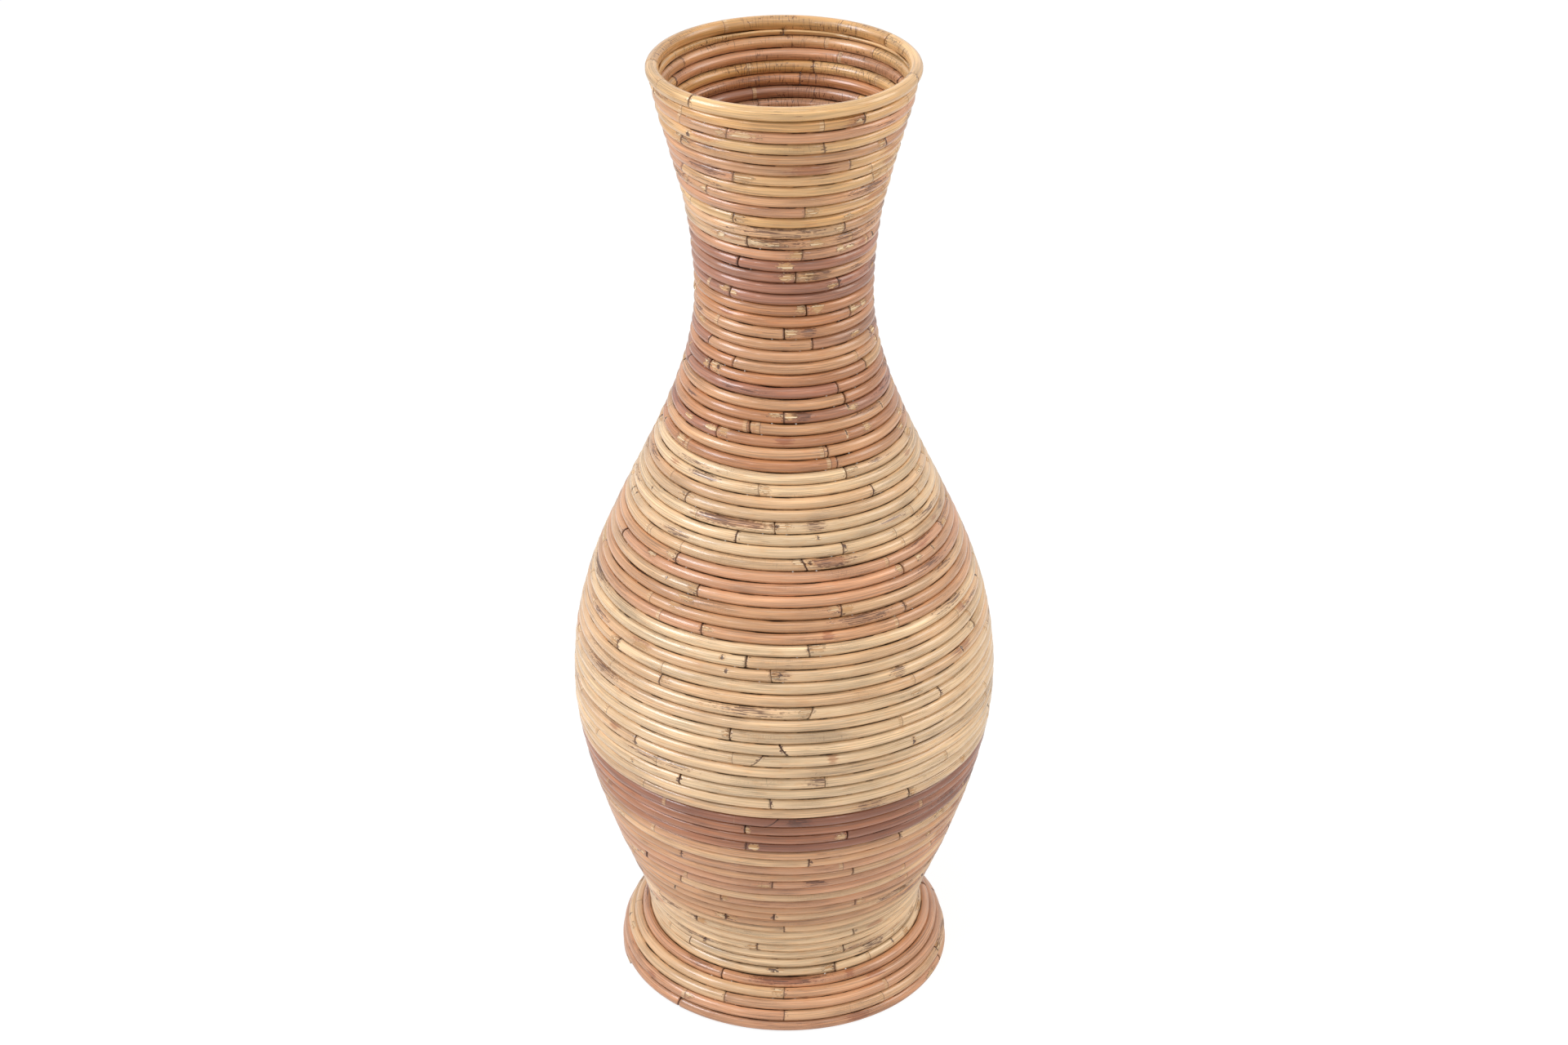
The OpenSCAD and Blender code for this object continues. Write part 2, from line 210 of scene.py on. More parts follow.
class Winding:
    """The spiral: its places by turn, its joints and its lengths of cane."""

    def __init__(self):
        self.heights = np.linspace(-FOOT_CANE, VASE_H + 4 * RIM_CANE, LINE_STEPS + 1)
        self.radii = np.array([line_radius(z) for z in self.heights])
        steps = np.hypot(np.diff(self.heights), np.diff(self.radii))
        self.reaches = np.concatenate([[0], np.cumsum(steps)])
        self.wind()
        self.joints = self.find_joints()

    def height(self, reach):
        return np.interp(reach, self.reaches, self.heights)

    def radius(self, reach):
        return np.interp(reach, self.reaches, self.radii)

    def thickness(self, z):
        at = [0, WAIST_Z, FLANK_Z, (2 * BELLY_Z + SHOULDER_Z) / 3, SHOULDER_Z, NECK_Z, VASE_H]
        sizes = [
            FOOT_CANE, FLANK_CANE, FLANK_CANE, BELLY_CANE, SHOULDER_CANE, NECK_CANE, MOUTH_CANE
        ]
        return np.interp(z, at, sizes)

    def pitch(self, reach):
        return self.thickness(self.height(reach)) + GLUE_LINE

    def turn_above(self, reach):
        """The place where the next turn lies on the turn at this one."""
        guess = reach + self.pitch(reach)
        for _ in range(SPACING_TRIES):
            apart = np.hypot(
                self.radius(guess) - self.radius(reach), self.height(guess) - self.height(reach)
            )
            guess = reach + (guess - reach) * self.pitch((reach + guess) / 2) / apart
        return guess

    def wind(self):
        seat_z = VASE_H - RIM_CANE
        end_z = seat_z + MOUTH_CANE / 2 * (1 - START_SHOW_SHARE)
        end_reach = np.interp(end_z, self.heights, self.reaches)
        start_z = FOOT_CANE / 2 * (START_SHOW_SHARE - 1)
        start = np.interp(start_z, self.heights, self.reaches)
        share = np.arange(STEPS_PER_TURN) / STEPS_PER_TURN
        turn = start + self.pitch(start) * share
        rows = []
        while turn[0] < end_reach:
            rows.append(turn)
            turn = self.turn_above(turn)
        self.turn_reaches = np.concatenate(rows)
        self.turn_counts = np.concatenate([n + share for n in range(len(rows))])
        self.turns = float(np.interp(end_reach, self.turn_reaches, self.turn_counts))
        self.seat_z = seat_z

    def reach_at(self, turn):
        return np.interp(turn, self.turn_counts, self.turn_reaches)

    def turn_below(self, turn, reach):
        """The place of the turn under this one, straight down the line under the first turn."""
        return np.where(turn > 1, self.reach_at(turn - 1), reach - self.pitch(reach))

    def lean(self, lower, upper):
        """The lean outward, from upright, of the line from one place to another."""
        run = self.radius(upper) - self.radius(lower)
        return np.arctan2(run, self.height(upper) - self.height(lower))

    def find_joints(self):
        """The turn counts at which one length meets the next, as in the CAD source."""
        front = []
        for k in range(int(self.turns - FRONT_TURN) + 1):
            t = FRONT_TURN + k - FRONT_JOINT_SHARES[k % len(FRONT_JOINT_SHARES)]
            if LEAST_LENGTH_SHARE < t < self.turns - LEAST_LENGTH_SHARE:
                front.append((t, k))
        self.front_rows = {round(t, TURN_DIGITS): LAST_ROW - k for t, k in front}
        main = [0] + [t for t, _ in front] + [self.turns]
        joints = [0]
        for i, (a, b) in enumerate(zip(main, main[1:])):
            count = math.ceil((b - a) / MOST_LENGTH_SHARE)
            for j in range(1, count + 1):
                spread = JOINT_SPREAD_SHARE * math.sin(math.radians(GOLDEN_ANGLE * (3 * i + j)))
                joints.append(a + (b - a) * j / count + (spread if j < count else 0))
        return joints

    def front_row(self, turn):
        """The row that has its front joint at a turn count, or None for any other joint."""
        return self.front_rows.get(round(turn, TURN_DIGITS))


winding = Winding()
LENGTHS = len(winding.joints) - 1
WALL_NODES = [f"{region}_canes_{k + 1}" for region, count in REGIONS for k in range(count)]


def first_length(n):
    """The first length of one of the CAD's wall nodes, which are wound from the floor up."""
    return math.ceil(LENGTHS * n / len(WALL_NODES))


# Marks by where they lie on the winding

FACING_SHARE = 0.24
HALVINGS = 30


def share_at(row, across):
    """How far right of the front a point on a row's outer face lies, as a share of a turn, when it
    stands so many pixels from the left of the photograph."""
    dip = math.radians(CAMERA_DIP)
    low, high = -FACING_SHARE, FACING_SHARE
    for _ in range(HALVINGS):
        share = (low + high) / 2
        reach = winding.reach_at(FRONT_TURN + LAST_ROW - row - share)
        z = float(winding.height(reach))
        r = float(winding.radius(reach)) + winding.thickness(z) / 2
        a = math.radians(360 * share)
        x, y = r * math.sin(a) * MM, -r * math.cos(a) * MM
        depth = (y + CAMERA_BACK) * math.cos(dip) - (z * MM - CAMERA_UP) * math.sin(dip)
        if PHOTO_W / 2 + FOCAL_PIXELS * x / depth < across:
            low = share
        else:
            high = share
    return share


def marks_by_length():
    """The marks of the table above as kind, turn and length, listed for each length of cane."""
    found = [[] for _ in range(LENGTHS)]
    for row, across, kind, length in MARKS:
        turn = FRONT_TURN + LAST_ROW - row - share_at(row, across)
        for i in range(LENGTHS):
            if winding.joints[i] <= turn < winding.joints[i + 1]:
                found[i].append((kind, turn, length))
    return found


def length_tones(rng):
    """The tone of each length, by chance: from its band at the front, and from all behind."""
    tones = [rng.choice(HIDDEN_TONES) for _ in range(LENGTHS)]
    for i in range(LENGTHS):
        down = winding.turns - (winding.joints[i] + winding.joints[i + 1]) / 2
        if down < OPEN_ROWS:
            tones[i] = INSIDE_TONES[int(down) % len(INSIDE_TONES)]
    for first, last, band in TONE_BANDS:
        for i, turn in enumerate(winding.joints):
            row = winding.front_row(turn)
            if row is not None and first <= row <= last:
                tones[i - 1] = rng.choice(band)
                if i < LENGTHS:
                    tones[i] = rng.choice(band)
    return tones


# Canes: a straight cane is made, cut and marked, and then bent along its path

# The mesh: sides, and how far apart its rings stand
SIDES = 16
RING_STEP, LEAST_RING_STEP, END_RING_INSET = 5.0, 0.35, 1.5
MARK_RINGS = [-1.0, -0.6, -0.3, 0, 0.3, 0.6, 1.0]
NODE_RINGS = [-5, -2.5, -1.2, -0.5, 0, 0.5, 1.2, 2.5, 5]
# The path of the wall: points in each turn, and the fewest in a length
STEPS_ALONG_TURN, LEAST_STEPS = 360, 12
# How far inward a cane lies, and how far its pattern is shifted along it
OUTWARD_SLACK, MOST_SINK, MOST_OFFSET = 0.15, 0.4, 4000
# Shortest and longest slow wave of a cane, and how far it sways
WAVES = [(70, 130, 0.12), (28, 50, 0.06)]
# The first turns and the rim lie steadier than the rest
STEADY_TURNS, STEADY_SHARE, RIM_STEADY_SHARE = 2.5, 0.3, 0.5
# How far a cane swells toward the turns that it touches, and how narrowly
TOUCH, RIM_TOUCH, TOUCH_NARROWNESS = 0.26, 0.5, 4
# The rim has no turn above, so its top is kept out of the painted shade of the grooves and gaps
RIM_MOST_FACING = 0.6
# What stands for no mark near: the greatest distance in millimetres and the greatest reach
FAR = 60.0
CLEAR = 4.0
# Ends
END_BEVELS = [0.35, 0.5, 0.7, 0.9, 1.6]
END_SEGMENTS = 2
END_DARKNESS, RIM_END_DARKNESS = (0.3, 1.0), 0.7
SLANTS = {39: 0.5, 51: -0.5, 54: 0.8, 55: -1.1, 61: -1.4}
SLANT_REACH, MOST_SLANT, RIM_MOST_SLANT = 14.0, 0.18, 0.2
JOINT_GAPS = [0.0, 0.02, 0.05, 0.09, 0.14]
RIM_GAP = 0.02
# How near a planed cut a point counts as on it, in metres
CUT_TOLERANCE = 1e-7
# How far nodes swell and narrow the cane, and how far along they are felt
NODE_SWELL, NODE_SWELL_REACH = 0.16, 2.4
NODE_RING, NODE_RING_REACH = 0.2, 0.5
# How deep marks dent the cane, and the reach at which the dent starts, where 1 is the mark's edge
BARE_DENT, BARE_DENT_REACH = 0.4, 1.3
KNOT_DENT, KNOT_DENT_REACH = 0.5, 1.2
GAP_DENT, GAP_DENT_REACH = 0.5, 1.4
# Marks of the table above: the middle of each round the cane, and how far round it spreads
MARK_MIDDLE = 0.35
MARK_SPREADS = {"bare": 0.8, "knot": 0.4, "stain": 1.2, "worn": 1.2, "gap": 1.0, "grit": 1.3}
SHOWN_SHARE = 0.09
# Nodes and marks by chance, as least and greatest: places along the cane and round it
FIRST_NODE, NODE_SPACING, NODE_END_ROOM = (20, 260), (150, 300), 12
CHANCE_MIDDLE, CHANCE_SPREAD, CHANCE_END_ROOM = (-0.1, 0.9), (0.35, 0.9), 8
WEAR_INSET, WEAR_LENGTH, WEAR_MIDDLE, WEAR_SPREAD = (2, 6), (6, 14), (0, 0.7), (0.4, 0.9)
END_WEAR_CHANCE = 0.3
# Marks that come by chance: kind, chance, least length and greatest length
CHANCE_MARKS = [
    ("bare", 0.35, 6, 16), ("knot", 0.25, 1.5, 3.5), ("stain", 0.3, 12, 40), ("gap", 0.4, 20, 60),
    ("bare", 0.25, 5, 12), ("knot", 0.2, 1.5, 3), ("gap", 0.3, 10, 30), ("grit", 0.7, 18, 80),
]
# Seeds
TONE_SEED, FIRST_LENGTH_SEED, FIRST_RIM_SEED = 11, 100, 900


class Cane:
    """One bent length: where it runs, how thick it is and what marks it bears, in millimetres."""

    def __init__(self, rng, radius):
        self.rng = rng
        self.radius = radius
        self.marks = []
        self.nodes = []
        self.sink = rng.uniform(0, MOST_SINK)
        self.waves = [
            (rng.uniform(low, high), rng.uniform(0, 2 * math.pi)) for low, high, _ in WAVES
        ]
        self.offset = rng.uniform(0, MOST_OFFSET)
        self.upper_touch = self.lower_touch = TOUCH
        self.steady = 1.0
        self.bevel = rng.choice(END_BEVELS)
        self.tight = False
        self.most_facing = 1.0

    def follow(self, turns, radii, heights, degrees, uppers, lowers):
        """Takes its path as arrays, with the leans toward the turns above and below, and measures
        how far along each point lies."""
        a = np.radians(degrees)
        points = np.stack([radii * np.cos(a), radii * np.sin(a), heights], 1)
        steps = np.linalg.norm(np.diff(points, axis=0), axis=1)
        self.alongs = np.concatenate([[0], np.cumsum(steps)])
        self.turns, self.radii, self.heights = turns, radii, heights
        self.angles, self.uppers, self.lowers = a, uppers, lowers
        self.length = float(self.alongs[-1])

    def kinds(self, *names):
        return [mark for mark in self.marks if mark[0] in names]

    def along_of(self, turn):
        order = np.argsort(self.turns)
        return float(np.interp(turn, self.turns[order], self.alongs[order]))

    def stations(self):
        """Where along the cane its rings stand: evenly, and closer together at marks."""
        low, high = self.gaps[0] + self.bevel, self.length - self.gaps[1] - self.bevel
        count = max(2, int((high - low) / RING_STEP))
        wanted = [low + (high - low) * i / count for i in range(1, count)]
        for kind, at, size, _ in self.marks:
            wanted += [at + size / 2 * share for share in MARK_RINGS]
        for at in self.nodes:
            wanted += [at + step for step in NODE_RINGS]
        wanted += [(a + b) / 2 for a, b in zip(self.nodes, self.nodes[1:])]
        wanted += [low + END_RING_INSET, high - END_RING_INSET]
        kept = [low]
        for at in sorted(wanted):
            if at - kept[-1] > LEAST_RING_STEP and high - at > LEAST_RING_STEP:
                kept.append(at)
        return low, high, kept[1:]

    def sway(self, along):
        """How far the cane lies inward of its CAD place along its length."""
        sway = -OUTWARD_SLACK - self.sink
        for (wave, phase), (_, _, size) in zip(self.waves, WAVES):
            sway = sway + size * (np.sin(along * 2 * math.pi / wave + phase) - 1)
        return sway * self.steady


def straight_cane(cane):
    """A closed straight cane along +X with bevelled ends and its rings at the cane's stations."""
    low, high, stations = cane.stations()
    start, end = cane.gaps[0], cane.length - cane.gaps[1]
    bm = bmesh.new()
    turn = Matrix.Translation(((start + end) / 2, 0, 0)) @ Matrix.Rotation(math.pi / 2, 4, "Y")
    bmesh.ops.create_cone(
        bm, cap_ends=True, segments=SIDES, radius1=cane.radius, radius2=cane.radius,
        depth=end - start, matrix=turn,
    )
    rims = [e for e in bm.edges if abs(e.verts[0].co.x - e.verts[1].co.x) < cane.bevel]
    bmesh.ops.bevel(
        bm, geom=rims, offset=cane.bevel, offset_type="OFFSET", segments=END_SEGMENTS,
        profile=0.5, affect="EDGES", material=-1,
    )
    long_edges = [e for e in bm.edges if abs(e.verts[0].co.x - e.verts[1].co.x) > (high - low) / 2]
    bmesh.ops.subdivide_edges(bm, edges=long_edges, cuts=len(stations), use_grid_fill=True)
    step = (high - low) / (len(stations) + 1)
    for v in bm.verts:
        k = round((v.co.x - low) / step)
        if 1 <= k <= len(stations) and abs(v.co.x - low - k * step) < step / 4:
            v.co.x = stations[k - 1]
    for face in bm.faces:
        face.smooth = len(face.verts) == 4
    return bm


def ellipse_reach(along, angle, marks):
    """For each point the least reach to the middle of a mark, where 1 is the mark's edge."""
    reach = np.full(len(along), CLEAR)
    for _, at, size, (middle, spread) in marks:
        turned = (angle - middle + math.pi) % (2 * math.pi) - math.pi
        reach = np.minimum(reach, np.hypot((along - at) / (size / 2), turned / spread))
    return reach


def from_nearest(along, places):
    """Signed distance to the nearest of some places along the cane."""
    nearest = np.full(len(along), FAR)
    for at in places:
        nearest = np.where(np.abs(along - at) < np.abs(nearest), along - at, nearest)
    return np.clip(nearest, -FAR, FAR)


class Skin:
    """The points of a straight cane's skin: where each lies along it, on which side of it, and how
    near its marks and the turns above and below."""

    def __init__(self, cane, points):
        self.cane = cane
        self.along, self.out, self.up = points.T
        self.angle = np.arctan2(self.up, self.out)
        self.bare = self.reach("bare")
        self.knot = self.reach("knot")
        self.from_node = from_nearest(self.along, cane.nodes)
        gap_reach = ellipse_reach(self.along, self.angle * 0, cane.kinds("gap"))
        self.gap = np.clip(GAP_DENT_REACH - gap_reach, 0, 1) * (self.up > 0)
        upper = np.interp(self.along, cane.alongs, cane.uppers)
        lower = np.interp(self.along, cane.alongs, cane.lowers)
        self.lean = (upper + lower) / 2
        self.above = np.cos(self.angle - math.pi / 2 - (self.lean - upper))
        self.below = np.cos(self.angle + math.pi / 2 - (self.lean - lower))

    def reach(self, *kinds):
        return ellipse_reach(self.along, self.angle, self.cane.kinds(*kinds))

    def shape(self):
        """How far outward and up from the cane's middle line each point lies, with the cane's
        swells, dents and slow waves."""
        cane = self.cane
        swell = NODE_SWELL * np.exp(-((self.from_node / NODE_SWELL_REACH) ** 2))
        swell -= NODE_RING * np.exp(-((self.from_node / NODE_RING_REACH) ** 2))
        dent = BARE_DENT * np.clip(BARE_DENT_REACH - self.bare, 0, 1) * (self.out > 0)
        dent = dent + KNOT_DENT * np.clip(KNOT_DENT_REACH - self.knot, 0, 1)
        size = 1 + (swell - dent) / cane.radius
        above, below = np.clip(self.above, 0, 1), np.clip(self.below, 0, 1)
        lobes = cane.upper_touch * above ** TOUCH_NARROWNESS
        lobes = lobes + cane.lower_touch * below ** TOUCH_NARROWNESS
        lobes = 1 + (lobes - GAP_DENT * self.gap * above ** 2) / cane.radius
        out = self.out * size * lobes * (1 - OUTWARD_SLACK / cane.radius) + cane.sway(self.along)
        return out, self.up * lobes

    def places(self):
        """Where each point lies on the vase, in metres."""
        cane, lean = self.cane, self.lean
        out, up = self.shape()
        start_share = np.clip(1 - self.along / SLANT_REACH, 0, 1)
        end_share = np.clip(1 - (cane.length - self.along) / SLANT_REACH, 0, 1)
        slid = self.along + self.up * (cane.slants[0] * start_share + cane.slants[1] * end_share)
        r = np.interp(slid, cane.alongs, cane.radii)
        z = np.interp(slid, cane.alongs, cane.heights)
        a = np.interp(slid, cane.alongs, cane.angles)
        a = a - (slid - np.clip(slid, 0, cane.length)) / r
        radial = r + out * np.cos(lean) + up * np.sin(lean)
        height = z - out * np.sin(lean) + up * np.cos(lean)
        return np.stack([radial * np.cos(a), radial * np.sin(a), height], 1) * MM

    def values(self):
        """What the material needs to know at each point, by the names that it reads."""
        cane = self.cane
        facing = np.where(
            self.above > self.below, np.minimum(self.above, cane.most_facing), -self.below
        )
        from_end = np.minimum(self.along - cane.gaps[0], cane.length - cane.gaps[1] - self.along)
        ones = np.ones(len(self.along))
        return {
            "cane": np.stack([self.along + cane.offset, self.out, self.up], 1),
            "side": np.stack([self.out / cane.radius, facing, np.clip(from_end, 0, FAR)], 1),
            "marks": np.stack([self.from_node, self.bare, self.gap], 1),
            "more": np.stack([self.reach("stain", "worn"), self.knot, ones * cane.cross], 1),
            "scars": np.stack([self.reach("grit"), ones * cane.end_dark, ones * 0], 1),
        }

    def tones(self):
        """The colour at each point, which drifts from the cane's start to its end."""
        ease = np.clip(self.along / self.cane.length, 0, 1)
        ease = (ease * ease * (3 - 2 * ease))[:, None]
        return np.array(self.cane.colour) * (1 - ease) + np.array(self.cane.end_colour) * ease


def bend_cane(bm, cane):
    """Bends a straight cane along its path and writes down what its material needs."""
    skin = Skin(cane, np.array([v.co for v in bm.verts]))
    world, values, tones = skin.places(), skin.values(), skin.tones()
    layers = {name: bm.verts.layers.float_vector.new(name) for name in values}
    tone_layer = bm.verts.layers.float_color.new("tone")
    for i, v in enumerate(bm.verts):
        v.co = world[i]
        v[tone_layer] = tones[i]
        for name, layer in layers.items():
            v[layer] = values[name][i]


def plane_off(bm, z, keep_above):
    """Planes a cane flat at a height and closes the cut."""
    geom = bm.verts[:] + bm.edges[:] + bm.faces[:]
    bmesh.ops.bisect_plane(
        bm, geom=geom, dist=CUT_TOLERANCE, plane_co=(0, 0, z), plane_no=(0, 0, 1),
        clear_inner=keep_above, clear_outer=not keep_above,
    )
    bmesh.ops.holes_fill(bm, edges=[e for e in bm.edges if e.is_boundary])


def varied(tone, rng):
    """A tone's colour, a little lighter or darker and warmer or cooler, with the strength of its
    streaks as its alpha."""
    light = rng.uniform(*LIGHTNESS)
    warm = rng.uniform(*WARMTH)
    r, g, b, _ = linear(TONES[tone])
    streaks = rng.uniform(*(DARK_STREAKS if tone in DARK_TONES else PALE_STREAKS))
    return (r * light * (1 + warm), g * light, b * light * (1 - warm), streaks)


def drifting(tone, next_tone, rng):
    """The colours of a length at its start and end: its own tone, and some way to the next one."""
    start = varied(tone, rng)
    end = varied(next_tone, rng)
    share = rng.uniform(0, MOST_DRIFT_SHARE)
    return start, tuple(a * (1 - share) + b * share for a, b in zip(start, end))


def add_chance_marks(cane, shows):
    """Nodes and small marks by chance on a length, as cane has them. Where the photograph shows
    its own marks there are fewer."""
    rng = cane.rng
    at = rng.uniform(*FIRST_NODE)
    while at < cane.length - NODE_END_ROOM:
        if not shows(at):
            cane.nodes.append(at)
        at += rng.uniform(*NODE_SPACING)
    for kind, chance, low, high in CHANCE_MARKS:
        if rng.random() < chance:
            at = rng.uniform(CHANCE_END_ROOM, cane.length - CHANCE_END_ROOM)
            if not shows(at) and not (cane.tight and kind == "gap"):
                facing = (rng.uniform(*CHANCE_MIDDLE), rng.uniform(*CHANCE_SPREAD))
                cane.marks.append((kind, at, rng.uniform(low, high), facing))
    for near_start in (True, False):
        if rng.random() < END_WEAR_CHANCE:
            inset = rng.uniform(*WEAR_INSET)
            at = inset if near_start else cane.length - inset
            size = rng.uniform(*WEAR_LENGTH)
            facing = (rng.uniform(*WEAR_MIDDLE), rng.uniform(*WEAR_SPREAD))
            cane.marks.append(("bare", at, size, facing))


def near_mouth(turn):
    """Whether a turn shows from inside, where no light should come through the wall."""
    return turn > winding.turns - OPEN_ROWS


def wall_cane(i, tone, next_tone, marks, joint_gaps, joint_slants, rng):
    """The cane of one length of the winding."""
    t0, t1 = winding.joints[i], winding.joints[i + 1]
    turns = np.linspace(t0, t1, max(LEAST_STEPS, int((t1 - t0) * STEPS_ALONG_TURN)))
    reaches = winding.reach_at(turns)
    middle_z = float(winding.height(winding.reach_at((t0 + t1) / 2)))
    cane = Cane(rng, float(winding.thickness(middle_z)) / 2)
    cane.follow(
        turns, winding.radius(reaches), winding.height(reaches), START_ANGLE - 360 * turns,
        winding.lean(reaches, winding.turn_above(reaches)),
        winding.lean(winding.turn_below(turns, reaches), reaches),
    )
    cane.gaps = (joint_gaps[i], joint_gaps[i + 1])
    cane.slants = (joint_slants[i], joint_slants[i + 1])
    cane.colour, cane.end_colour = drifting(tone, next_tone, rng)
    cane.cross = rng.uniform(0, 1) ** 2
    if t0 < STEADY_TURNS:
        cane.steady = STEADY_SHARE
    if near_mouth(t0):
        cane.tight = True
        cane.bevel = min(END_BEVELS)

    def shows(at):
        share = (float(np.interp(at, cane.alongs, cane.turns)) - FRONT_TURN + 0.5) % 1 - 0.5
        return abs(share) < SHOWN_SHARE

    for kind, turn, size in marks:
        at = cane.along_of(turn)
        if kind == "node":
            cane.nodes.append(at)
        else:
            cane.marks.append((kind, at, size, (MARK_MIDDLE, MARK_SPREADS[kind])))
    add_chance_marks(cane, shows)
    cane.nodes.sort()
    cane.end_dark = rng.uniform(*END_DARKNESS)
    return cane


RIM_R = (MOUTH_W - RIM_CANE) / 2
RIM_Z = VASE_H - RIM_CANE / 2
RIM_CROSS = 0.2


def rim_cane(i, rng):
    """The cane of one length of the rim."""
    low, high = RIM_JOINT_DEGREES[i], RIM_JOINT_DEGREES[i + 1]
    degrees = np.linspace(high, low, int(high - low) + 1)
    cane = Cane(rng, RIM_CANE / 2)
    ones = np.ones(len(degrees))
    lean = math.radians(MOUTH_LEAN)
    cane.follow(degrees, RIM_R * ones, RIM_Z * ones, degrees, lean * ones, lean * ones)
    cane.sink = 0
    cane.gaps = (RIM_GAP, RIM_GAP)
    cane.slants = tuple(rng.uniform(-RIM_MOST_SLANT, RIM_MOST_SLANT) for _ in range(2))
    cane.colour, cane.end_colour = drifting(RIM_TONES[i], RIM_END_TONE, rng)
    cane.cross = RIM_CROSS
    cane.end_dark = RIM_END_DARKNESS
    cane.nodes = [cane.along_of(at) for at in RIM_NODE_DEGREES if low < at < high]
    cane.upper_touch = 0.0
    cane.most_facing = RIM_MOST_FACING
    cane.lower_touch = RIM_TOUCH
    cane.steady = RIM_STEADY_SHARE
    return cane


def new_object(name, data):
    made = bpy.data.objects.new(name, data)
    bpy.context.scene.collection.objects.link(made)
    return made


def one_piece(name, canes, planes, material, node):
    """A Blender object of several bent canes, which stands for a CAD node."""
    mesh = bpy.data.meshes.new(name)
    whole = bmesh.new()
    for cane, plane in zip(canes, planes):
        bm = straight_cane(cane)
        bend_cane(bm, cane)
        if plane is not None:
            plane_off(bm, *plane)
        bmesh.ops.recalc_face_normals(bm, faces=bm.faces)
        part = bpy.data.meshes.new("part")
        bm.to_mesh(part)
        bm.free()
        whole.from_mesh(part)
        bpy.data.meshes.remove(part)
    whole.to_mesh(mesh)
    whole.free()
    piece = new_object(name, mesh)
    mesh.materials.append(material)
    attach(piece, "root")
    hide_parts(node)
    return piece


def plane_of(i):
    """Where a length of the wall is planed and whether what lies above is kept: the first turn to
    stand on and the last to seat the rim. The others aren't planed."""
    if winding.joints[i] < 1:
        return 0.0, True
    if winding.joints[i + 1] > winding.turns - 1:
        return winding.seat_z * MM, False
    return None


def make_wall(material):
    rng = random.Random(TONE_SEED)
    tones = length_tones(rng)
    marks = marks_by_length()
    gaps = [rng.choice(JOINT_GAPS) for _ in winding.joints]
    gaps = [0.0 if near_mouth(turn) else gap for turn, gap in zip(winding.joints, gaps)]
    slants = [rng.uniform(-MOST_SLANT, MOST_SLANT) for _ in winding.joints]
    slants = [SLANTS.get(winding.front_row(t), slant) for t, slant in zip(winding.joints, slants)]
    for n, node in enumerate(WALL_NODES):
        canes, planes = [], []
        for i in range(first_length(n), first_length(n + 1)):
            chance = random.Random(FIRST_LENGTH_SEED + i)
            next_tone = tones[(i + 1) % LENGTHS]
            canes.append(wall_cane(i, tones[i], next_tone, marks[i], gaps, slants, chance))
            planes.append(plane_of(i))
        piece = one_piece(f"{node}_wound", canes, planes, material, node)


def make_rim(material):
    canes = [rim_cane(i, random.Random(FIRST_RIM_SEED + i)) for i in range(len(RIM_TONES))]
    piece = one_piece("rim_wound", canes, [None] * len(canes), material, "rim_canes")


# Shader maths


class Value:
    """A number in a shader. An expression on values adds its Math nodes."""

    def __init__(self, shader, socket):
        self.shader = shader
        self.socket = socket

    def maths(self, operation, *inputs):
        node = self.shader.add("ShaderNodeMath", {"operation": operation}, dict(enumerate(inputs)))
        return Value(self.shader, node.outputs[0])

    def __add__(self, other):
        return self.maths("ADD", self, other)

    def __sub__(self, other):
        return self.maths("SUBTRACT", self, other)

    def __rsub__(self, other):
        return self.maths("SUBTRACT", other, self)

    def __mul__(self, other):
        return self.maths("MULTIPLY", self, other)

    def __abs__(self):
        return self.maths("ABSOLUTE", self)

    __radd__ = __add__
    __rmul__ = __mul__

    def most(self, other):
        return self.maths("MAXIMUM", self, other)

    def between(self, low, high):
        """0 below low and 1 above high, with a smooth step from one to the other."""
        node = self.shader.add(
            "ShaderNodeMapRange", {"interpolation_type": "SMOOTHSTEP"},
            {"Value": self, "From Min": low, "From Max": high},
        )
        return Value(self.shader, node.outputs[0])


